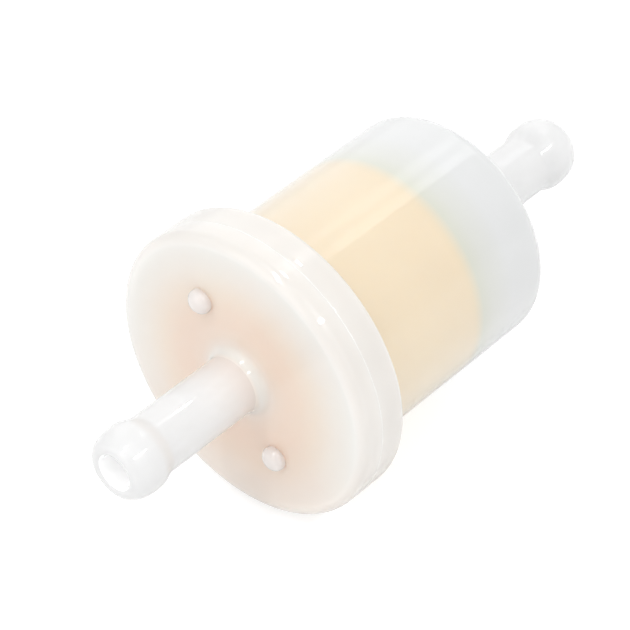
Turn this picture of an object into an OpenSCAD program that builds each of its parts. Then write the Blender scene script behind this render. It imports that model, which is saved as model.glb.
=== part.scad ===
// In-line fuel filter for a small engine: a flanged cup and a flanged cap of
// natural translucent plastic, welded together around a pleated paper element.
// Millimetres. X is the flow axis, with the outlet cap at -X and the inlet cup
// at +X. The origin is on that axis, halfway between the two nozzle mouths.

/* [Body] */
// Outer diameter of the welded flange
flange_d = 35; // [33:0.5:38]
// Outer diameter of the cup
body_d = 28; // [27.5:0.5:29]
// Length from the cap's outer face to the cup's closed end
body_len = 35.5; // [34:0.5:45]
// Wall thickness of the cup's side
side_wall = 1.5; // [1.2:0.1:1.6]
// Wall thickness of the cup's closed end
end_wall = 1.8; // [1.4:0.1:2.4]
// Outer radius of the cup's closed corner
corner_round = 1.8; // [1.2:0.1:3]

/* [Flange] */
// Thickness of the cap's half of the flange
cap_rim_t = 3.1; // [2.8:0.1:4]
// Thickness of the cup's half of the flange
cup_rim_t = 3.7; // [2.8:0.1:4]
// Radius of the flange's edge on the cap's face
face_round = 1.4; // [0.8:0.1:1.5]
// Radius of the flange's edge towards the cup
back_round = 0.8; // [0.4:0.1:1.2]
// Radius of the two edges that meet at the weld line
seam_round = 0.2; // [0.2:0.05:0.5]
// Fillet between the flange and the side of the cup
flange_fillet = 0.6; // [0.3:0.1:1]

/* [Weld joint] */
// Mean diameter of the weld's tongue and groove
weld_d = 30.8; // [30.4:0.2:31]
// Width of the tongue on the cup
tongue_w = 1; // [0.8:0.1:1.2]
// Height of the tongue on the cup
tongue_h = 1.1; // [0.8:0.1:1.3]
// Thickness of the melted bead at the bottom of the groove
bead_t = 0.4; // [0.2:0.1:0.5]

/* [Nozzles] */
// Length of each nozzle beyond the body
nozzle_len = 19.2; // [16:0.2:24]
// Outer diameter of the stem that holds the hose
stem_d = 7; // [6.8:0.1:7.2]
// Largest diameter of the rounded hose bulb
bulb_d = 8.2; // [7.8:0.1:8.6]
// Diameter of the fuel bore
bore_d = 4; // [3:0.1:4.4]
// Radius of the fillet where a stem meets the body
stem_fillet = 1.2; // [0.8:0.1:2]

/* [Moulding nubs] */
// Height of each nub above the cap's face
nub_h = 1.3; // [0.6:0.1:1.4]
// Radius of the foot of each nub
nub_r = 1.45; // [1:0.05:1.8]
// Distance of each nub from the axis
nub_at = 9.7; // [8:0.1:12]
// Turn of the pair of nubs about the axis, from the +Z direction
nub_turn = 148; // [0:1:180]

/* [Filter element] */
// Number of pleats in the paper
pleats = 36; // [24:1:40]
// Thickness of the paper
paper_t = 0.35; // [0.3:0.05:0.4]
// Length of the whole element, end plates included
element_len = 21.8; // [18:0.2:24]
// Thickness of each end plate
plate_t = 1; // [0.8:0.1:1.4]
// Height of the lip around each end plate
lip_h = 2.1; // [1.6:0.1:2.6]
// Thickness of the adhesive under each end of the paper
glue_t = 1.2; // [0.8:0.1:1.4]
// Gap between the element and the side of the cup
element_gap = 0.35; // [0.2:0.05:0.6]

/* [Core tube] */
// Inner diameter of the core tube
core_d = 13; // [12.8:0.1:13.4]
// Wall thickness of the core tube
core_wall = 0.7; // [0.6:0.1:0.8]
// Windows around the core tube
core_columns = 8; // [6:1:9]
// Windows along the core tube
core_rows = 4; // [3:1:5]

/* [Hidden] */
$fn = 96;

// Places along the axis
cap_face_x = -body_len / 2;
weld_x = cap_face_x + cap_rim_t;
flange_back_x = weld_x + cup_rim_t;
cup_end_x = body_len / 2;
outlet_tip_x = cap_face_x - nozzle_len;
inlet_tip_x = cup_end_x + nozzle_len;
element_x = weld_x;
element_end_x = element_x + element_len;
paper_x = element_x + plate_t + glue_t;
paper_len = element_len - 2 * (plate_t + glue_t);

// Radii
flange_r = flange_d / 2;
body_r = body_d / 2;
inner_r = body_r - side_wall;
inner_corner = corner_round / 2;
bore_r = bore_d / 2;
stem_r = stem_d / 2;
bulb_r = bulb_d / 2;
plate_r = inner_r - element_gap;
lip_t = 0.5;
paper_outer_r = plate_r - lip_t - 0.1;
core_r = core_d / 2;
core_outer_r = core_r + core_wall;
paper_inner_r = core_outer_r + 0.2;
weld_r = weld_d / 2;

// Nozzle mouth, and the bulb's stations measured from the tip
mouth_round = 0.5;
mouth_face_r = 2.8;
bulb_s = 2.8;
crest_len = 1;
neck_len = 2;

// Spigot inside the cap that seals the element
spigot_r = 3.6;
spigot_len = 2.4;
spigot_clear = 0.05;
spigot_lead = 0.4;

// Tongue and groove
groove_clear = 0.1;
groove_depth = tongue_h + bead_t;

// Folds of the paper, measured to the middle of its thickness
fold_r = 0.35;
ARC_STEPS = 6;
FOLD_STEPS = 4;

// Points of an arc in the profile's plane, in [x, r] pairs
function arc(x, r, radius, from, to, steps = ARC_STEPS) = [
    for (i = [0:steps])
        let (a = from + (to - from) * i / steps)
            [x + radius * cos(a), r + radius * sin(a)]
];

// Points of a quarter ellipse from the mouth's face out to the bulb's crest
function bulb_nose(steps = 8) = [
    for (i = [0:steps])
        let (a = 90 * i / steps)
            [bulb_s * (1 - cos(a)), mouth_face_r + (bulb_r - mouth_face_r) * sin(a)]
];

// Points of the smooth neck from the bulb's crest down to the stem
function bulb_neck(steps = 8) = [
    for (i = [0:steps])
        let (t = i / steps)
            [
                bulb_s + crest_len + neck_len * t,
                stem_r + (bulb_r - stem_r) * (1 + cos(180 * t)) / 2
            ]
];

// The nozzle's outline from the mouth to the foot of the stem's fillet,
// measured along the axis from the tip
function nozzle_outline() = concat(
    arc(mouth_round, bore_r + mouth_round, mouth_round, -90, -180),
    bulb_nose(),
    bulb_neck(),
    [[nozzle_len - stem_fillet, stem_r]],
    arc(nozzle_len - stem_fillet, stem_r + stem_fillet, stem_fillet, -90, 0)
);

// A solid turned about the X axis from [x, r] pairs
module turned(outline) {
    rotate([0, 90, 0])
        rotate_extrude()
            polygon([for (p = outline) [p[1], p[0]]]);
}

// A tube about the X axis
module tube(x, length, outer, inner) {
    turned([[x, inner], [x + length, inner], [x + length, outer], [x, outer]]);
}

// Cap: half of the flange, the outlet nozzle, the spigot and the weld groove
module outlet_cap() {
    nozzle = [for (p = nozzle_outline()) [outlet_tip_x + p[0], p[1]]];
    rim = concat(
        arc(cap_face_x + face_round, flange_r - face_round, face_round, 180, 90),
        arc(weld_x - seam_round, flange_r - seam_round, seam_round, 90, 0)
    );
    groove = [
        [weld_x, weld_r + tongue_w / 2 + groove_clear],
        [weld_x - groove_depth, weld_r + tongue_w / 2 + groove_clear],
        [weld_x - groove_depth, weld_r - tongue_w / 2 - groove_clear],
        [weld_x, weld_r - tongue_w / 2 - groove_clear]
    ];
    spigot = [
        [weld_x, spigot_r],
        [weld_x + spigot_len - spigot_lead, spigot_r],
        [weld_x + spigot_len, spigot_r - spigot_lead],
        [weld_x + spigot_len, bore_r]
    ];
    color("whitesmoke") {
        turned(concat(nozzle, rim, groove, spigot));
        for (side = [0, 180])
            rotate([nub_turn + side, 0, 0])
                translate([cap_face_x, 0, nub_at])
                    nub();
    }
}

// Rounded nub on the cap's face: a low dome on a short foot
module nub() {
    foot = nub_h / 4;
    dome = nub_h - foot;
    turned(concat(
        [[0.3, 0], [0.3, nub_r], [-foot, nub_r]],
        [
            for (i = [1:ARC_STEPS])
                let (a = 90 * i / ARC_STEPS)
                    [-foot - dome * sin(a), nub_r * cos(a)]
        ]
    ));
}

// Cup: half of the flange with the weld tongue, the body and the inlet nozzle
module inlet_cup() {
    nozzle = nozzle_outline();
    last = len(nozzle) - 1;
    tongue = [
        [weld_x, weld_r - tongue_w / 2],
        [weld_x - tongue_h, weld_r - tongue_w / 2],
        [weld_x - tongue_h, weld_r + tongue_w / 2],
        [weld_x, weld_r + tongue_w / 2]
    ];
    rim = concat(
        arc(weld_x + seam_round, flange_r - seam_round, seam_round, 180, 90),
        arc(flange_back_x - back_round, flange_r - back_round, back_round, 90, 0)
    );
    side = concat(
        arc(flange_back_x + flange_fillet, body_r + flange_fillet, flange_fillet, 180, 270),
        arc(cup_end_x - corner_round, body_r - corner_round, corner_round, 90, 0)
    );
    inside = concat(
        [[cup_end_x - end_wall, bore_r]],
        arc(
            cup_end_x - end_wall - inner_corner,
            inner_r - inner_corner,
            inner_corner,
            0,
            90
        ),
        [[weld_x, inner_r]]
    );
    color("whitesmoke")
        turned(concat(
            tongue,
            rim,
            side,
            [for (i = [last:-1:0]) [inlet_tip_x - nozzle[i][0], nozzle[i][1]]],
            inside
        ));
}

// Melt that froze between the tongue's top and the bottom of the groove
module weld_bead() {
    color("ghostwhite")
        tube(
            weld_x - groove_depth,
            bead_t,
            weld_r + tongue_w / 2 + groove_clear,
            weld_r - tongue_w / 2 - groove_clear
        );
}

// Lipped plate that closes one end of the element, its flat face at x = 0
module end_plate(hole_r) {
    turned([
        [0, hole_r],
        [plate_t, hole_r],
        [plate_t, plate_r - lip_t],
        [lip_h, plate_r - lip_t],
        [lip_h, plate_r],
        [0, plate_r]
    ]);
}

// Plate that seals the element on the cap's spigot
module outlet_end_plate() {
    color("peachpuff")
        translate([element_x, 0, 0])
            end_plate(spigot_r + spigot_clear);
}

// Closed plate at the inlet end, with its lip facing back over the paper
module inlet_end_plate() {
    color("peachpuff")
        translate([element_end_x, 0, 0])
            mirror([1, 0, 0])
                end_plate(0);
}

// Ring of adhesive that holds one end of the paper in its plate
module adhesive_ring(x) {
    color("burlywood")
        tube(x, glue_t, plate_r - lip_t, core_outer_r);
}

module outlet_end_adhesive() {
    adhesive_ring(element_x + plate_t);
}

module inlet_end_adhesive() {
    adhesive_ring(element_end_x - plate_t - glue_t);
}

// Pleated paper: outer and inner folds joined by straight flanks that are
// tangent to both, drawn once for each side of the paper
half_pitch = 180 / pleats;
peak_r = paper_outer_r - fold_r - paper_t / 2;
valley_r = paper_inner_r + fold_r + paper_t / 2;
flank = [valley_r * cos(half_pitch) - peak_r, valley_r * sin(half_pitch)];
flank_turn = atan2(flank[1], flank[0]) - acos(2 * fold_r / norm(flank));

function fold(r, turn, radius, from, to) = [
    for (i = [0:FOLD_STEPS])
        let (a = turn + from + (to - from) * i / FOLD_STEPS)
            [r * cos(turn) + radius * cos(a), r * sin(turn) + radius * sin(a)]
];

// side is 1 for the paper's outer face and -1 for its inner face
function pleated_outline(side) = [
    for (k = [0:pleats - 1])
        let (
            turn = 2 * half_pitch * k,
            reach = 180 + flank_turn - half_pitch,
            peak = fold(peak_r, turn, fold_r + side * paper_t / 2, -flank_turn, flank_turn),
            valley = fold(
                valley_r,
                turn + half_pitch,
                fold_r - side * paper_t / 2,
                reach,
                360 - reach
            )
        )
            each concat(peak, valley)
];

module pleated_paper() {
    color("moccasin")
        translate([paper_x, 0, 0])
            rotate([0, 90, 0])
                linear_extrude(paper_len)
                    difference() {
                        polygon(pleated_outline(1));
                        polygon(pleated_outline(-1));
                    }
}

// Strip of adhesive that joins the two ends of the paper inside one pleat
module pleat_seam() {
    seam_depth = 2;
    taper = flank_turn - 90;
    half_out = (fold_r - paper_t / 2) / cos(taper);
    half_in = half_out - seam_depth * tan(taper);
    color("burlywood")
        translate([paper_x, 0, 0])
            rotate([0, 90, 0])
                linear_extrude(paper_len)
                    polygon([
                        [peak_r - seam_depth, -half_in],
                        [peak_r, -half_out],
                        [peak_r, half_out],
                        [peak_r - seam_depth, half_in]
                    ]);
}

// Windowed tube that stops the paper from collapsing inwards
module core_tube() {
    core_x = element_x + plate_t;
    core_len = element_len - 2 * plate_t;
    window_w = 3;
    pitch = core_len / core_rows;
    window_len = pitch - 1.8;
    color("white")
        difference() {
            tube(core_x, core_len, core_outer_r, core_r);
            for (row = [0:core_rows - 1])
                for (column = [0:core_columns - 1])
                    rotate([360 * (column + row % 2 / 2) / core_columns, 0, 0])
                        translate([
                            core_x + pitch * row + (pitch - window_len) / 2,
                            -window_w / 2,
                            core_r - 0.8
                        ])
                            cube([window_len, window_w, core_wall + 1.6]);
        }
}

inlet_cup();
outlet_cap();
weld_bead();
outlet_end_plate();
outlet_end_adhesive();
pleated_paper();
pleat_seam();
core_tube();
inlet_end_adhesive();
inlet_end_plate();
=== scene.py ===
# %% [markdown]
# # An in-line fuel filter of milky plastic
# The object is two flanged mouldings of natural, translucent plastic, welded
# face to face, with a pleated paper element between them. This lesson keeps
# the CAD model as its frame, and builds the look around it: smooth
# glossy shells, tinted as if the warm paper showed through, and the small marks
# that moulding and welding leave behind.

import math

import bmesh
import bpy
from mathutils import Matrix, Vector


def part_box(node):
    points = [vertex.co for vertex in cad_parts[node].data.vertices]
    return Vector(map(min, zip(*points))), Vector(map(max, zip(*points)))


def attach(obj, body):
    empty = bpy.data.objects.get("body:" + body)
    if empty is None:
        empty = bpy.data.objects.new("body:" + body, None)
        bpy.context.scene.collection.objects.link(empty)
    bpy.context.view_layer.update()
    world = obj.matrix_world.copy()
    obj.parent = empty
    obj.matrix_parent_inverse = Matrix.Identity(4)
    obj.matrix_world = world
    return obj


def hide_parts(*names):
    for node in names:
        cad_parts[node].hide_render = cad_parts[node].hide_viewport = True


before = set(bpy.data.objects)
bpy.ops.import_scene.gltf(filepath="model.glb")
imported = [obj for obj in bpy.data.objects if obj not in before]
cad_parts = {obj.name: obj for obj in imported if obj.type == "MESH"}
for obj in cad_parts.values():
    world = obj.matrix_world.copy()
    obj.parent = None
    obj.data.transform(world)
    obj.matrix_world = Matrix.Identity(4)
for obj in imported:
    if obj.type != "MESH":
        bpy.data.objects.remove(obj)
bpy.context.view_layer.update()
MM = 0.001
print("nodes:", ", ".join(sorted(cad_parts)))

# %% [markdown]
# ## Where things are
# Places come from the CAD nodes. The flow axis is X, so the ends of each
# node's box give the faces that the shells are turned between, and a few radii
# and lengths that no box holds are named here, in millimetres, as the
# mouldings have them.

# %% Stations along the axis
cap_low, cap_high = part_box("outlet_cap")
_, cup_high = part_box("inlet_cup")
plate_low, plate_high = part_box("outlet_end_plate")
_, end_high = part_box("inlet_end_plate")

NOZZLE, CUP_RIM = 19.2, 3.7
OUTLET_TIP = cap_low.x / MM
INLET_TIP = cup_high.x / MM
CAP_FACE = OUTLET_TIP + NOZZLE
CUP_END = INLET_TIP - NOZZLE
WELD_X = plate_low.x / MM
FLANGE_BACK = WELD_X + CUP_RIM
SPIGOT_END = cap_high.x / MM
END_X = end_high.x / MM
print(f"cap face {CAP_FACE:.2f}, weld {WELD_X:.2f}, cup end {CUP_END:.2f} mm")

# %% Radii
FLANGE_R = cap_high.z / MM
PLATE_R = plate_high.z / MM
BORE_R, STEM_R, BULB_R, MOUTH_R = 2.0, 3.5, 4.1, 2.8
BODY_R, INNER_R = 14.0, 12.5
print(f"flange {FLANGE_R:.2f}, element {PLATE_R:.2f}, cup {BODY_R:.2f} mm in radius")

# %% [markdown]
# ## Camera
# The lens is long, which keeps the two nozzles almost the same size. The
# camera is held by its own three directions and by where it sees the middle of
# the cap's face, which fixes it without any turning by hand.

# %% Camera
RIGHT = Vector((0.6577, -0.7532, 0.0))
DOWN = Vector((-0.4920, -0.4297, -0.7570))
FORWARD = Vector((0.5703, 0.4979, -0.6534))
FACE_IN_VIEW = Vector((-8.14, 6.87, 319.7)) * MM
LENS_MM, SENSOR_MM = 171.4, 36.0
NEAR, FAR = 0.01, 10.0


def look(place, right, down, forward):
    """A camera at a place, with its own right, down and forward directions."""
    data = bpy.data.cameras.new("camera")
    data.sensor_width = SENSOR_MM
    data.lens = LENS_MM
    data.clip_start = NEAR
    data.clip_end = FAR
    camera = bpy.data.objects.new("camera", data)
    bpy.context.scene.collection.objects.link(camera)
    turn = Matrix((right, -down, -forward)).transposed().to_4x4()
    camera.matrix_world = Matrix.Translation(place) @ turn
    bpy.context.scene.camera = camera
    return camera


face_centre = Vector((CAP_FACE * MM, 0.0, 0.0))
offset = RIGHT * FACE_IN_VIEW.x + DOWN * FACE_IN_VIEW.y + FORWARD * FACE_IN_VIEW.z
camera = look(face_centre - offset, RIGHT, DOWN, FORWARD)
print("camera at mm:", [round(c / MM, 1) for c in camera.location])

# %% [markdown]
# ## Floor
# The filter lies on a white sweep. It rests on the edge of its flange and on
# the far corner of the cup, so the surface under it leans by a few degrees in
# this frame, where the flow axis is level. The floor is a small one, so that
# its raised end hides little of the filter in a low view along the axis.


# %% Objects from meshes
def new_object(name, mesh):
    """An object at the origin that holds a finished mesh."""
    thing = bpy.data.objects.new(name, mesh)
    bpy.context.scene.collection.objects.link(thing)
    return thing


def mesh_from(shape, name):
    """Turns a bmesh into a mesh and frees it."""
    mesh = bpy.data.meshes.new(name)
    shape.to_mesh(mesh)
    shape.free()
    return mesh


print("helpers:", new_object.__name__, mesh_from.__name__)

# %% Floor
FLOOR_HALF = 0.25
CORNER_BACK, EDGE_BACK = 1.0, 0.4
rest_run = (CUP_END - CORNER_BACK) - FLANGE_BACK
rest_rise = FLANGE_R - BODY_R
lean = math.atan2(rest_rise, rest_run)
shape = bmesh.new()
bmesh.ops.create_grid(shape, x_segments=1, y_segments=1, size=FLOOR_HALF)
level_turn = Matrix.Rotation(-lean, 3, "Y")
bmesh.ops.rotate(shape, cent=(0, 0, 0), matrix=level_turn, verts=shape.verts)
foot = Vector((FLANGE_BACK - EDGE_BACK, 0.0, -FLANGE_R)) * MM
bmesh.ops.translate(shape, vec=foot, verts=shape.verts)
floor = new_object("floor", mesh_from(shape, "floor"))
print(f"the floor leans {math.degrees(lean):.1f} degrees")

# %% [markdown]
# ## Light
# White plastic on white is drawn by its light. A bright, even surround fills
# the shadows. Pale panels overhead lie along the filter's axis, and their sharp
# edge shows as the soft band along the cup. Thin, strong strips are too small
# to light much, but the clear gloss returns them as the streaks on the stem,
# the bulbs and the flange's edge.


# %% Area lights
def softbox(name, place, aim, width, height, radiance):
    """A rectangular area light that faces a point."""
    data = bpy.data.lights.new(name, "AREA")
    data.shape = "RECTANGLE"
    data.size = width
    data.size_y = height
    data.energy = radiance * math.pi * width * height
    light = bpy.data.objects.new(name, data)
    bpy.context.scene.collection.objects.link(light)
    light.location = place
    toward = Vector(aim) - Vector(place)
    light.rotation_euler = toward.to_track_quat("-Z", "Y").to_euler()
    return light


OVERHEAD = 0.60


def strip(name, x_span, y_span, radiance):
    """A light straight above, its sides parallel to the filter's axis."""
    place = Vector((sum(x_span) / 2, sum(y_span) / 2, OVERHEAD))
    length = x_span[1] - x_span[0]
    width = y_span[1] - y_span[0]
    below = place - Vector((0, 0, OVERHEAD))
    return softbox(name, place, below, length, width, radiance)


lights = [
    strip("cup_panel", (0.36, 0.64), (0.015, 0.12), 0.75),
    strip("cup_panel_fade", (0.36, 0.70), (0.12, 0.36), 0.40),
    strip("side_strip", (-0.36, 0.32), (-0.51, -0.45), 14.0),
    strip("top_strip", (-0.50, -0.10), (0.0, 0.05), 16.0),
    strip("small_lamp", (0.344, 0.357), (-0.01, 0.05), 40.0),
    softbox("back_panel", (0.75, 0.85, 0.50), (0, 0, 0), 1.0, 1.1, 0.34),
    softbox("front_fill", (-0.90, 0.25, 0.35), (0, 0, 0), 0.8, 0.8, 0.52),
]
print("lights:", ", ".join(light.name for light in lights))

# %% Surround
SURROUND, BACKDROP = 0.85, 1.0
world = bpy.data.worlds.new("studio")
world.use_nodes = True
backdrop = world.node_tree
seen = backdrop.nodes.new("ShaderNodeLightPath")
level = backdrop.nodes.new("ShaderNodeMapRange")
level.inputs["To Min"].default_value = SURROUND
level.inputs["To Max"].default_value = BACKDROP
air = backdrop.nodes["Background"]
air.inputs["Color"].default_value = (1, 1, 1, 1)
backdrop.links.new(seen.outputs["Is Camera Ray"], level.inputs["Value"])
backdrop.links.new(level.outputs["Result"], air.inputs["Strength"])
bpy.context.scene.world = world
bpy.context.scene.view_settings.view_transform = "Standard"
print(f"surround {SURROUND}, backdrop {BACKDROP}")

# %% [markdown]
# ## Shared effects
# Moulded plastic is never quite even. Its colour clouds a little where the
# melt cooled at different speeds, and its surface carries very shallow waves.
# Both effects are node groups, so each material places them with its own
# scale and strength. A third group measures how far a point is from the
# element inside, which is what tints the shells.


# %% Node helpers
def group(name, inputs, outputs):
    """An empty shader node group with named sockets."""
    tree = bpy.data.node_groups.new(name, "ShaderNodeTree")
    for label, kind, value in inputs:
        socket = tree.interface.new_socket(label, in_out="INPUT", socket_type=kind)
        socket.default_value = value
    for label, kind in outputs:
        tree.interface.new_socket(label, in_out="OUTPUT", socket_type=kind)
    entry = tree.nodes.new("NodeGroupInput")
    leave = tree.nodes.new("NodeGroupOutput")
    return tree, entry, leave


def put(tree, kind, **settings):
    """A node with its plain settings given by name."""
    node = tree.nodes.new(kind)
    for key, value in settings.items():
        if key in node.inputs:
            node.inputs[key].default_value = value
        else:
            setattr(node, key, value)
    return node


FLOAT, COLOUR, VECTOR = "NodeSocketFloat", "NodeSocketColor", "NodeSocketVector"
print("socket kinds:", FLOAT, COLOUR, VECTOR)


# %% Cloudy colour
def cloud_group():
    """Mixes two colours by a soft cloud, for resin, paper and adhesive."""
    tree, entry, leave = group(
        "cloudy_colour",
        [
            ("Vector", VECTOR, (0, 0, 0)),
            ("Scale", FLOAT, 200.0),
            ("Colour", COLOUR, (1, 1, 1, 1)),
            ("Cloud", COLOUR, (0.9, 0.9, 0.9, 1)),
        ],
        [("Colour", COLOUR)],
    )
    noise = put(tree, "ShaderNodeTexNoise", Detail=4.0, Roughness=0.55)
    ramp = put(tree, "ShaderNodeMapRange")
    ramp.inputs["From Min"].default_value = 0.35
    ramp.inputs["From Max"].default_value = 0.65
    mix = put(tree, "ShaderNodeMix", data_type="RGBA")
    link = tree.links.new
    link(entry.outputs["Vector"], noise.inputs["Vector"])
    link(entry.outputs["Scale"], noise.inputs["Scale"])
    link(noise.outputs["Fac"], ramp.inputs["Value"])
    link(ramp.outputs["Result"], mix.inputs["Factor"])
    link(entry.outputs["Colour"], mix.inputs["A"])
    link(entry.outputs["Cloud"], mix.inputs["B"])
    link(mix.outputs["Result"], leave.inputs["Colour"])
    return tree


CLOUD = cloud_group()
print("group:", CLOUD.name)


# %% Moulded surface
def mould_group():
    """Shallow waves and fine grain, as a height for a bump node."""
    tree, entry, leave = group(
        "moulded_surface",
        [
            ("Vector", VECTOR, (0, 0, 0)),
            ("Wave scale", FLOAT, 120.0),
            ("Grain scale", FLOAT, 1500.0),
            ("Grain share", FLOAT, 0.2),
        ],
        [("Height", FLOAT)],
    )
    wave = put(tree, "ShaderNodeTexNoise", Detail=2.0, Roughness=0.5)
    grain = put(tree, "ShaderNodeTexNoise", Detail=3.0, Roughness=0.6)
    mix = put(tree, "ShaderNodeMix", data_type="FLOAT")
    link = tree.links.new
    link(entry.outputs["Vector"], wave.inputs["Vector"])
    link(entry.outputs["Vector"], grain.inputs["Vector"])
    link(entry.outputs["Wave scale"], wave.inputs["Scale"])
    link(entry.outputs["Grain scale"], grain.inputs["Scale"])
    link(entry.outputs["Grain share"], mix.inputs["Factor"])
    link(wave.outputs["Fac"], mix.inputs["A"])
    link(grain.outputs["Fac"], mix.inputs["B"])
    link(mix.outputs["Result"], leave.inputs["Height"])
    return tree


MOULD = mould_group()
print("group:", MOULD.name)


# %% Depth of the element below the surface
def depth_group():
    """Distance from a point to the element, a plain cylinder about X."""
    tree, entry, leave = group(
        "depth_to_element",
        [
            ("Vector", VECTOR, (0, 0, 0)),
            ("Centre", FLOAT, 0.0),
            ("Half length", FLOAT, 0.01),
            ("Radius", FLOAT, 0.012),
        ],
        [("Depth", FLOAT), ("Radial", FLOAT), ("Height", FLOAT)],
    )
    link = tree.links.new

    def maths(operation, a, b=None):
        node = put(tree, "ShaderNodeMath", operation=operation)
        for socket, value in zip(node.inputs, (a, b)):
            if isinstance(value, (int, float)):
                socket.default_value = value
            elif value is not None:
                link(value, socket)
        return node.outputs[0]

    axes = put(tree, "ShaderNodeSeparateXYZ")
    link(entry.outputs["Vector"], axes.inputs[0])
    y2 = maths("MULTIPLY", axes.outputs["Y"], axes.outputs["Y"])
    z2 = maths("MULTIPLY", axes.outputs["Z"], axes.outputs["Z"])
    radius = maths("SQRT", maths("ADD", y2, z2))
    away = maths("ABSOLUTE", maths("SUBTRACT", axes.outputs["X"], entry.outputs["Centre"]))
    past_end = maths("MAXIMUM", maths("SUBTRACT", away, entry.outputs["Half length"]), 0.0)
    past_side = maths("MAXIMUM", maths("SUBTRACT", radius, entry.outputs["Radius"]), 0.0)
    end2 = maths("MULTIPLY", past_end, past_end)
    side2 = maths("MULTIPLY", past_side, past_side)
    link(maths("SQRT", maths("ADD", end2, side2)), leave.inputs["Depth"])
    link(radius, leave.inputs["Radial"])
    link(axes.outputs["Z"], leave.inputs["Height"])
    return tree


DEPTH = depth_group()
print("group:", DEPTH.name)

# %% [markdown]
# ## Materials
# Every finish here is a Principled shader whose colour comes from the cloud
# group and whose bump comes from the moulded surface. One function builds it,
# and each finish gives it its own colours, scales and shader sockets.


# %% A material with a cloud and a moulded surface
def make_material(name, colours, cloud_scale, surface, **sockets):
    """Principled material whose colour and height come from the two groups.

    The surface is the bump's height in mm, then the scale of its waves, the
    scale of its grain and the grain's share.
    """
    material = bpy.data.materials.new(name)
    material.use_nodes = True
    tree = material.node_tree
    shader = tree.nodes["Principled BSDF"]
    place = put(tree, "ShaderNodeTexCoord")
    tint = put(tree, "ShaderNodeGroup", node_tree=CLOUD)
    tint.inputs["Scale"].default_value = cloud_scale
    for label, colour in zip(("Colour", "Cloud"), colours):
        tint.inputs[label].default_value = (*colour, 1)
    bump_mm, *moulded = surface
    relief = put(tree, "ShaderNodeGroup", node_tree=MOULD)
    for label, value in zip(("Wave scale", "Grain scale", "Grain share"), moulded):
        relief.inputs[label].default_value = value
    bump = put(tree, "ShaderNodeBump", Strength=1.0, Distance=bump_mm * MM)
    link = tree.links.new
    link(place.outputs["Object"], tint.inputs["Vector"])
    link(place.outputs["Object"], relief.inputs["Vector"])
    link(relief.outputs["Height"], bump.inputs["Height"])
    link(tint.outputs["Colour"], shader.inputs["Base Color"])
    link(bump.outputs["Normal"], shader.inputs["Normal"])
    for key, value in sockets.items():
        shader.inputs[key.replace("_", " ")].default_value = value
    return material


def srgb(red, green, blue):
    """A display colour in 0 to 255 as the linear colour that a shader takes."""
    return tuple(
        c / 12.92 if c <= 0.04045 else ((c + 0.055) / 1.055) ** 2.4
        for c in (red / 255, green / 255, blue / 255)
    )


print("mid grey:", [round(c, 3) for c in srgb(128, 128, 128)])

# %% [markdown]
# ## Natural resin
# The shells are natural resin, about one and a half millimetres thick at the
# cup's side. Light goes in, is scattered over a millimetre or two, and comes out
# beside where it went in, so the surface is almost all subsurface scattering
# under a thin clear gloss. Two places get a faint painted glow, an emission that stands in
# for the light that
# travels inside the thick plastic there: the wall of each bore, and the hidden
# faces of the weld, which would otherwise show as a dark line round the rim.


# %% Natural resin
def natural_resin(name, clear, spread_mm, glow=0.0, glow_colour=(1.0, 1.0, 1.0)):
    """Milky natural resin under a thin clear gloss."""
    return make_material(
        name, ((1.0, 1.0, 1.0), (0.97, 0.97, 0.97)), 90.0, (0.03, 130.0, 1500.0, 0.1),
        Roughness=0.3,
        IOR=1.45,
        Transmission_Weight=clear,
        Subsurface_Weight=1.0,
        Subsurface_Radius=(1.0, 1.0, 1.0),
        Subsurface_Scale=spread_mm * MM,
        Coat_Weight=1.0,
        Coat_IOR=1.7,
        Coat_Roughness=0.04,
        Emission_Color=(*glow_colour, 1.0),
        Emission_Strength=glow,
    )


CLEAR, WALL_SPREAD, NOZZLE_SPREAD = 0.15, 1.2, 2.5
CUP_PLASTIC = natural_resin("cup_plastic", CLEAR, WALL_SPREAD)
CAP_PLASTIC = natural_resin("cap_plastic", CLEAR, WALL_SPREAD)
NOZZLE_PLASTIC = natural_resin("nozzle_plastic", CLEAR, NOZZLE_SPREAD)
BORE_PLASTIC = natural_resin("bore_plastic", CLEAR, NOZZLE_SPREAD, 0.143)
WELD_FACE = natural_resin("weld_face", 0.0, WALL_SPREAD, 0.25, (1.0, 0.98, 0.95))
SHELL_FINISHES = (CUP_PLASTIC, NOZZLE_PLASTIC, BORE_PLASTIC, CAP_PLASTIC, WELD_FACE)
print("resins:", ", ".join(material.name for material in SHELL_FINISHES))
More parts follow.
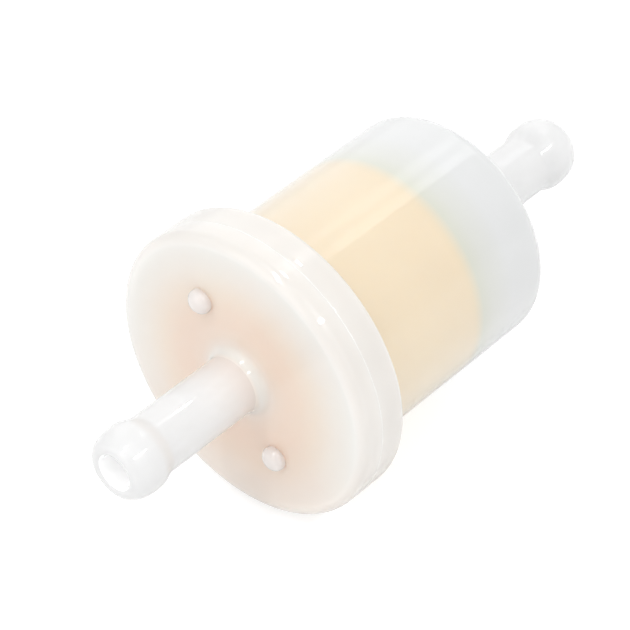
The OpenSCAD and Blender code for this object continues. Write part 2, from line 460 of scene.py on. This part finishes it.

# %% [markdown]
# ## What shows through
# The paper and its end plates show through the milky wall as soft colours with
# blurred borders. A clear wall lost the beige, and a half-clear
# one left coloured noise. So each shell is nearly opaque and is tinted by how
# far its surface is from the element: a short list of colours, each at a
# distance in millimetres, does it.


# %% Tint by distance
def add_show_through(material, low, high, radius, reach, stops, measure="Depth"):
    """Tints a shell by how deep the element lies below its surface."""
    tree = material.node_tree
    link = tree.links.new
    shader = tree.nodes["Principled BSDF"]
    place = next(n for n in tree.nodes if n.bl_idname == "ShaderNodeTexCoord")
    depth = put(tree, "ShaderNodeGroup", node_tree=DEPTH)
    depth.inputs["Centre"].default_value = (low + high) / 2 * MM
    depth.inputs["Half length"].default_value = (high - low) / 2 * MM
    depth.inputs["Radius"].default_value = radius * MM
    link(place.outputs["Object"], depth.inputs["Vector"])
    span = put(tree, "ShaderNodeMapRange")
    span.inputs["From Min"].default_value = 0.0
    span.inputs["From Max"].default_value = reach * MM
    link(depth.outputs[measure], span.inputs["Value"])
    ramp = put(tree, "ShaderNodeValToRGB")
    points = ramp.color_ramp.elements
    while len(points) < len(stops):
        points.new(0.5)
    for point, (at_mm, colour) in zip(points, stops):
        point.position = at_mm / reach
        point.color = (*srgb(*colour), 1)
    link(span.outputs["Result"], ramp.inputs["Fac"])
    blend = put(tree, "ShaderNodeMix", data_type="RGBA", blend_type="MULTIPLY")
    blend.inputs["Factor"].default_value = 1.0
    tint = shader.inputs["Base Color"].links[0].from_socket
    link(ramp.outputs["Color"], blend.inputs["A"])
    link(tint, blend.inputs["B"])
    link(blend.outputs["Result"], shader.inputs["Base Color"])
    return depth


PAPER_STOPS = [
    (1.9, (242, 225, 197)),
    (2.2, (239, 224, 197)),
    (3.2, (222, 223, 211)),
    (4.6, (225, 226, 220)),
    (8.0, (229, 230, 230)),
]
PLATE_BLUR = 3.2
add_show_through(CUP_PLASTIC, WELD_X, END_X - PLATE_BLUR, PLATE_R, 8.0, PAPER_STOPS)
print("cup:", len(PAPER_STOPS), "colours from paper to empty wall")

# %% Tan glow of the cap
# The two lightest stops, at 3.6 and 4.4 mm from the axis on the stem's foot, are painted
# light that lifts the shade of the concave fillet there.
GLOW_STOPS = [
    (3.6, (252, 243, 237)),
    (4.4, (251, 234, 223)),
    (5.4, (248, 227, 211)),
    (7.0, (248, 224, 206)),
    (8.8, (248, 225, 207)),
    (10.8, (249, 231, 215)),
    (13.5, (250, 239, 230)),
    (16.4, (250, 245, 240)),
    (17.3, (237, 233, 228)),
]
GLOW_R = 7.5
cap_depth = add_show_through(
    CAP_PLASTIC, WELD_X, END_X, GLOW_R, 18.0, GLOW_STOPS, "Radial"
)
NOZZLE_STOPS = [
    (4.6, (239, 230, 225)),
    (7.0, (235, 232, 230)),
    (10.0, (232, 232, 232)),
    (16.0, (229, 229, 229)),
    (20.0, (229, 229, 229)),
]
add_show_through(NOZZLE_PLASTIC, WELD_X, END_X, GLOW_R, 24.0, NOZZLE_STOPS)
print("cap:", len(GLOW_STOPS), "colours; nozzles:", len(NOZZLE_STOPS))


# %% Painted shade on the underside
def paint_underside_shade(material, depth, low_mm, high_mm, colour):
    """Paints shade on the lower part of a shell: its colour turns warmer and darker towards
    the bottom.
    """
    tree = material.node_tree
    link = tree.links.new
    shader = tree.nodes["Principled BSDF"]
    fall = put(tree, "ShaderNodeMapRange", interpolation_type="SMOOTHSTEP")
    fall.inputs["From Min"].default_value = high_mm * MM
    fall.inputs["From Max"].default_value = low_mm * MM
    link(depth.outputs["Height"], fall.inputs["Value"])
    blend = put(tree, "ShaderNodeMix", data_type="RGBA", blend_type="MULTIPLY")
    tint = shader.inputs["Base Color"].links[0].from_socket
    link(fall.outputs["Result"], blend.inputs["Factor"])
    link(tint, blend.inputs["A"])
    blend.inputs["B"].default_value = (*colour, 1)
    link(blend.outputs["Result"], shader.inputs["Base Color"])


# Painted shade: the cap's colour is warmed and darkened from just above its axis down to its
# bottom.
paint_underside_shade(CAP_PLASTIC, cap_depth, -16.0, 1.0, (0.95, 0.90, 0.86))
print("warmed:", CAP_PLASTIC.name)

# %% [markdown]
# ## Inner finishes, the weld and the floor
# The element's own parts hardly show through the milky wall, but a cut view
# shows them, so each has its finish: paper with a fine grain, tan and olive end
# plates, an ivory core, and amber adhesive. The weld's flash is the same resin,
# but so thin that a plain white with a gloss stands for it.

# %% Inner finishes
PLAIN_MOULDING = (0.02, 200.0, 2000.0, 0.3)
PAPER = make_material(
    "filter_paper", ((0.90, 0.62, 0.30), (0.86, 0.56, 0.25)), 500.0,
    (0.05, 900.0, 4000.0, 0.5), Roughness=0.85,
)
TAN = make_material(
    "tan_plastic", ((0.70, 0.30, 0.12), (0.64, 0.26, 0.10)), 200.0,
    PLAIN_MOULDING, Roughness=0.5,
)
OLIVE = make_material(
    "olive_plastic", ((0.36, 0.40, 0.27), (0.33, 0.37, 0.25)), 200.0,
    PLAIN_MOULDING, Roughness=0.5,
)
CORE = make_material(
    "core_plastic", ((0.85, 0.83, 0.78), (0.80, 0.78, 0.73)), 200.0,
    PLAIN_MOULDING, Roughness=0.5,
)
ADHESIVE = make_material(
    "adhesive", ((0.70, 0.42, 0.16), (0.62, 0.36, 0.13)), 300.0,
    (0.05, 300.0, 1500.0, 0.3), Roughness=0.3,
)
print("inner:", ", ".join(m.name for m in (PAPER, TAN, OLIVE, CORE, ADHESIVE)))

# %% Weld and floor
FLOOR_GLOW, FLOOR_SEEN = 0.33, 0.6
WELD_PLASTIC = make_material(
    "weld_plastic", (srgb(250, 249, 246), srgb(244, 242, 238)), 600.0,
    (0.02, 600.0, 2500.0, 0.2), Roughness=0.3, Coat_Weight=0.8, Coat_Roughness=0.05,
)
WHITE_SWEEP = make_material(
    "white_sweep", ((0.55, 0.55, 0.55), (0.54, 0.54, 0.54)), 5.0,
    (0.02, 20.0, 400.0, 0.3), Roughness=0.9, Emission_Color=(1.0, 1.0, 1.0, 1.0),
)
tree = WHITE_SWEEP.node_tree
rays = put(tree, "ShaderNodeLightPath")
glow = put(tree, "ShaderNodeMapRange")
glow.inputs["To Min"].default_value = FLOOR_GLOW
glow.inputs["To Max"].default_value = FLOOR_SEEN
tree.links.new(rays.outputs["Is Camera Ray"], glow.inputs["Value"])
sweep_shader = tree.nodes["Principled BSDF"]
tree.links.new(glow.outputs["Result"], sweep_shader.inputs["Emission Strength"])
floor.data.materials.append(WHITE_SWEEP)
print("floor finish:", WHITE_SWEEP.name)

# %% [markdown]
# ## Turned shells
# Both mouldings are bodies of revolution, so each is a closed outline spun
# about the flow axis. The outline is drawn with sharp corners, and a vertex
# bevel rounds each corner by its own radius before the spin, which keeps the
# list of points as short as a turner's drawing.

# %% Spin an outline
MERGE = 1e-7
TURN_STEPS, CORNER_STEPS = 128, 8


def bevel_corner(shape, vertex, radius):
    """Rounds one corner of a wire outline to an arc of a given radius."""
    ends = [edge.other_vert(vertex).co - vertex.co for edge in vertex.link_edges]
    half = ends[0].angle(ends[1]) / 2
    bmesh.ops.bevel(
        shape, geom=[vertex], affect="VERTICES",
        offset=radius * MM / math.tan(half), offset_type="OFFSET",
        segments=CORNER_STEPS, profile=0.5, material=-1, clamp_overlap=False,
    )


def spin_about_x(shape, geom, steps):
    """A full spin about the flow axis, closed where its ends meet."""
    bmesh.ops.spin(
        shape, geom=geom, cent=(0, 0, 0), axis=(1, 0, 0),
        angle=2 * math.pi, steps=steps, use_merge=True,
    )


def turned(name, outline):
    """Spins a closed outline of (x, radius, corner radius) about the X axis."""
    shape = bmesh.new()
    points = [shape.verts.new((x * MM, 0.0, r * MM)) for x, r, _ in outline]
    for pair in zip(points, points[1:] + points[:1]):
        shape.edges.new(pair)
    for vertex, (_, _, corner) in zip(points, outline):
        if corner > 0:
            bevel_corner(shape, vertex, corner)
    spin_about_x(shape, shape.verts[:] + shape.edges[:], TURN_STEPS)
    bmesh.ops.remove_doubles(shape, verts=shape.verts, dist=MERGE)
    bmesh.ops.recalc_face_normals(shape, faces=shape.faces)
    for face in shape.faces:
        face.smooth = True
    return new_object(name, mesh_from(shape, name))


print("turning in", TURN_STEPS, "steps")

# %% [markdown]
# ## The nozzle and the cap
# A nozzle ends in a bulb that holds the hose: a rounded nose, a short crest and
# a soft neck down to the plain stem. Both ends use the same outline. The cap is
# a disc with a nozzle on its face, a rounded rim, a groove for the weld and a
# spigot that seals the element. A hair's breadth is left between its weld face
# and the cup's, so that the two never share a plane.

# %% Nozzle outline
NOSE, CREST, NECK = 2.8, 0.5, 2.5
NOZZLE_STEPS = 10
MOUTH_ROUND, STEM_FILLET = 0.5, 1.2


def nozzle(tip, way):
    """Outline of a nozzle from its mouth to its foot, drawn from the tip."""
    shares = [i / NOZZLE_STEPS for i in range(NOZZLE_STEPS + 1)]
    drawn = [(0.0, BORE_R, MOUTH_ROUND)]
    for t in shares:
        turn = math.pi / 2 * t
        along = NOSE * (1 - math.cos(turn))
        drawn.append((along, MOUTH_R + (BULB_R - MOUTH_R) * math.sin(turn), 0.0))
    for t in shares:
        fall = (1 + math.cos(math.pi * t)) / 2
        drawn.append((NOSE + CREST + NECK * t, STEM_R + (BULB_R - STEM_R) * fall, 0.0))
    drawn.append((NOZZLE, STEM_R, STEM_FILLET))
    return [(tip + way * x, r, corner) for x, r, corner in drawn]


print("nozzle outline:", len(nozzle(OUTLET_TIP, 1)), "points")

# %% Cap outline
EDGE, EDGE_STEPS = 1.4, 16
SEAM, SLIT = 0.09, 0.01
GROOVE_IN, GROOVE_OUT, GROOVE_DEEP = 14.8, 16.0, 1.5
SPIGOT_R = 3.6


def quarter_edge(x, r, radius):
    """Points of the rim's rounded edge, from the cap's face to its side."""
    turns = [math.radians(180 - 90 * i / EDGE_STEPS) for i in range(EDGE_STEPS + 1)]
    return [(x + radius * math.cos(t), r + radius * math.sin(t), 0.0) for t in turns]


weld_plane = WELD_X - SLIT
cap_outline = (
    nozzle(OUTLET_TIP, 1)
    + quarter_edge(CAP_FACE + EDGE, FLANGE_R - EDGE, EDGE)
    + [
        (weld_plane, FLANGE_R, SEAM),
        (weld_plane, GROOVE_OUT, 0.0),
        (WELD_X - GROOVE_DEEP, GROOVE_OUT, 0.0),
        (WELD_X - GROOVE_DEEP, GROOVE_IN, 0.0),
        (weld_plane, GROOVE_IN, 0.0),
        (weld_plane, SPIGOT_R, 0.3),
        (SPIGOT_END, SPIGOT_R, 0.4),
        (SPIGOT_END, BORE_R, 0.0),
    ]
)
cap_turned = turned("cap_turned", cap_outline)
print(cap_turned.name, len(cap_turned.data.polygons), "faces")

# %% [markdown]
# ## Moulding nubs on the cap
# Two low domes stand on the cap's face, opposite each other. Each is spun from
# a small quarter arc on a short foot, and joined to the cap with a Boolean
# union, so that light meets no hidden wall inside the plastic.

# %% Nub shape
NUB_R, NUB_H, NUB_AT, NUB_TURN = 1.45, 1.3, 9.7, math.radians(148)
NUB_FOOT, NUB_SUNK = NUB_H / 4, 0.3
NUB_STEPS, DOME_STEPS = 32, 8


def nub_shape(shape, turn):
    """Adds one closed dome to a bmesh, its foot sunk into the cap's face."""
    drawn = [(NUB_SUNK, 0.0), (NUB_SUNK, NUB_R)]
    for i in range(DOME_STEPS + 1):
        t = math.pi / 2 * i / DOME_STEPS
        rise = (NUB_H - NUB_FOOT) * math.sin(t)
        drawn.append((-NUB_FOOT - rise, NUB_R * math.cos(t)))
    points = [shape.verts.new((x * MM, 0.0, r * MM)) for x, r in drawn]
    edges = [shape.edges.new(pair) for pair in zip(points, points[1:])]
    spin_about_x(shape, points + edges, NUB_STEPS)
    fresh = [v for v in shape.verts if not v.tag]
    bmesh.ops.remove_doubles(shape, verts=fresh, dist=MERGE)
    fresh = [v for v in shape.verts if not v.tag]
    bmesh.ops.translate(shape, vec=(CAP_FACE * MM, 0, NUB_AT * MM), verts=fresh)
    bmesh.ops.rotate(
        shape, cent=(0, 0, 0), matrix=Matrix.Rotation(turn, 3, "X"), verts=fresh
    )
    for vertex in fresh:
        vertex.tag = True


shape = bmesh.new()
for side in (0.0, math.pi):
    nub_shape(shape, NUB_TURN + side)
bmesh.ops.recalc_face_normals(shape, faces=shape.faces)
nubs = new_object("nubs", mesh_from(shape, "nubs"))
print(nubs.name, len(nubs.data.polygons), "faces")

# %% Join the nubs to the cap
CRISP = math.radians(38)


def finish_smooth(shape):
    """Smooth faces, with the edges that turn sharply left crisp."""
    for face in shape.faces:
        face.smooth = True
    for edge in shape.edges:
        if len(edge.link_faces) == 2:
            edge.smooth = edge.calc_face_angle(0.0) < CRISP


def joined(name, base, tool):
    """Boolean union of two objects, as a new object. Both are removed."""
    union = base.modifiers.new("union", "BOOLEAN")
    union.operation = "UNION"
    union.solver = "EXACT"
    union.object = tool
    bpy.context.view_layer.update()
    result = base.evaluated_get(bpy.context.evaluated_depsgraph_get())
    shape = bmesh.new()
    shape.from_mesh(result.to_mesh())
    result.to_mesh_clear()
    for thing in (base, tool):
        bpy.data.objects.remove(thing)
    finish_smooth(shape)
    return new_object(name, mesh_from(shape, name))


cap = joined("outlet_cap_shell", cap_turned, nubs)
print(cap.name, len(cap.data.polygons), "faces")

# %% [markdown]
# ## The cup
# The cup is the other moulding: a flange with a tongue for the weld, a straight
# side, a closed end with a rounded corner, and the inlet nozzle. Its outline
# runs along the outside to the nozzle's mouth and comes back along the inside.

# %% Cup outline
TONGUE_IN, TONGUE_OUT, TONGUE_LONG = 14.9, 15.9, 1.1
CORNER_ROUND, END_WALL = 1.8, 1.8
cup_outline = [
    (WELD_X, INNER_R, 0.0),
    (WELD_X, TONGUE_IN, 0.0),
    (WELD_X - TONGUE_LONG, TONGUE_IN, 0.0),
    (WELD_X - TONGUE_LONG, TONGUE_OUT, 0.0),
    (WELD_X, TONGUE_OUT, 0.0),
    (WELD_X, FLANGE_R, SEAM),
    (FLANGE_BACK, FLANGE_R, 0.8),
    (FLANGE_BACK, BODY_R, 0.6),
    (CUP_END, BODY_R, CORNER_ROUND),
] + nozzle(INLET_TIP, -1)[::-1] + [
    (CUP_END - END_WALL, BORE_R, 0.0),
    (CUP_END - END_WALL, INNER_R, 0.9),
]
cup = turned("inlet_cup_shell", cup_outline)
print(cup.name, len(cup.data.polygons), "faces")

# %% [markdown]
# ## Which finish each face takes
# One moulding is one piece, but its thick nozzle, its bore, its flange and its
# weld face pass light differently. Each face picks its finish by where it lies:
# how far along the axis, and how far from it.

# %% Finishes by place
OWN, AT_NOZZLE, IN_BORE, ON_FLANGE, AT_WELD = range(5)
STEM_START, NUB_START, NUB_INNER = 1.5, 0.1, 6.0
FLANGE_START, BORE_MARGIN = 0.4, 0.2
WELD_HALF, WELD_FACING = 1.5 * SEAM, 0.7


def finish_at(face):
    """The finish of one face of a shell, from its centre and its direction."""
    reach = abs(face.center.x) / MM - abs(CAP_FACE)
    away = math.hypot(face.center.y, face.center.z) / MM
    near_weld = abs(face.center.x / MM - WELD_X) < WELD_HALF
    if away < BORE_R + BORE_MARGIN and reach > 0:
        return IN_BORE
    if near_weld and abs(face.normal.x) > WELD_FACING and away > TONGUE_OUT:
        return AT_WELD
    if reach > STEM_START or (reach > NUB_START and away > NUB_INNER):
        return AT_NOZZLE
    if away > BODY_R + FLANGE_START:
        return ON_FLANGE
    return OWN


for shell, node, own in ((cap, "outlet_cap", CAP_PLASTIC), (cup, "inlet_cup", CUP_PLASTIC)):
    for material in (own, NOZZLE_PLASTIC, BORE_PLASTIC, CAP_PLASTIC, WELD_FACE):
        shell.data.materials.append(material)
    for face in shell.data.polygons:
        face.material_index = finish_at(face)
    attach(shell, "root")
    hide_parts(node)
    used = sorted({face.material_index for face in shell.data.polygons})
    print(shell.name, "uses finishes", used)

# %% [markdown]
# ## The weld's flash
# Where the two flanges melt together, a thin bead of plastic squeezes out of
# the joint. It fills the shallow groove between the halves, a little more in
# some places than in others. It is a small circle spun round the rim, whose
# points are then pushed in and out by a few waves that never quite repeat.

# %% Flash bead
FLASH_R, FLASH_SUNK, SWELL = 0.17, 0.02, 0.02
FLASH_SIDES, FLASH_STEPS = 10, 360
WAVES = ((0.5, 23, 0.0), (0.3, 61, 1.0), (0.2, 9, 2.0))


def flash():
    """A small ring spun from a circle, its thickness uneven round the rim."""
    shape = bmesh.new()
    ring = bmesh.ops.create_circle(shape, segments=FLASH_SIDES, radius=FLASH_R * MM)["verts"]
    upright = Matrix.Rotation(math.pi / 2, 3, "X")
    bmesh.ops.rotate(shape, cent=(0, 0, 0), matrix=upright, verts=ring)
    centre_r = FLANGE_R - FLASH_R - FLASH_SUNK
    bmesh.ops.translate(shape, vec=(WELD_X * MM, 0, centre_r * MM), verts=ring)
    spin_about_x(shape, shape.verts[:] + shape.edges[:], FLASH_STEPS)
    bmesh.ops.remove_doubles(shape, verts=shape.verts, dist=MERGE)
    for vertex in shape.verts:
        around = math.atan2(vertex.co.z, vertex.co.y)
        swell = sum(size * math.sin(count * around + start) for size, count, start in WAVES)
        out = Vector((0, math.cos(around), math.sin(around)))
        vertex.co += out * (SWELL * MM * swell)
    bmesh.ops.recalc_face_normals(shape, faces=shape.faces)
    finish_smooth(shape)
    return new_object("weld_flash", mesh_from(shape, "weld_flash"))


weld_flash = flash()
weld_flash.data.materials.append(WELD_PLASTIC)
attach(weld_flash, "root")
print(weld_flash.name, len(weld_flash.data.polygons), "faces")

# %% [markdown]
# ## The parts inside
# The weld's hidden bead and the element's seven parts keep the shape that the
# CAD gives them, because it is already right. Each only takes a finish.

# %% CAD nodes that keep their own shape
CARRIED = {
    "weld_bead": CUP_PLASTIC,
    "outlet_end_plate": TAN,
    "outlet_end_adhesive": ADHESIVE,
    "pleated_paper": PAPER,
    "pleat_seam": ADHESIVE,
    "core_tube": CORE,
    "inlet_end_adhesive": ADHESIVE,
    "inlet_end_plate": OLIVE,
}
for node, material in CARRIED.items():
    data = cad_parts[node].data
    data.materials.clear()
    data.materials.append(material)
print("carried over:", ", ".join(CARRIED))
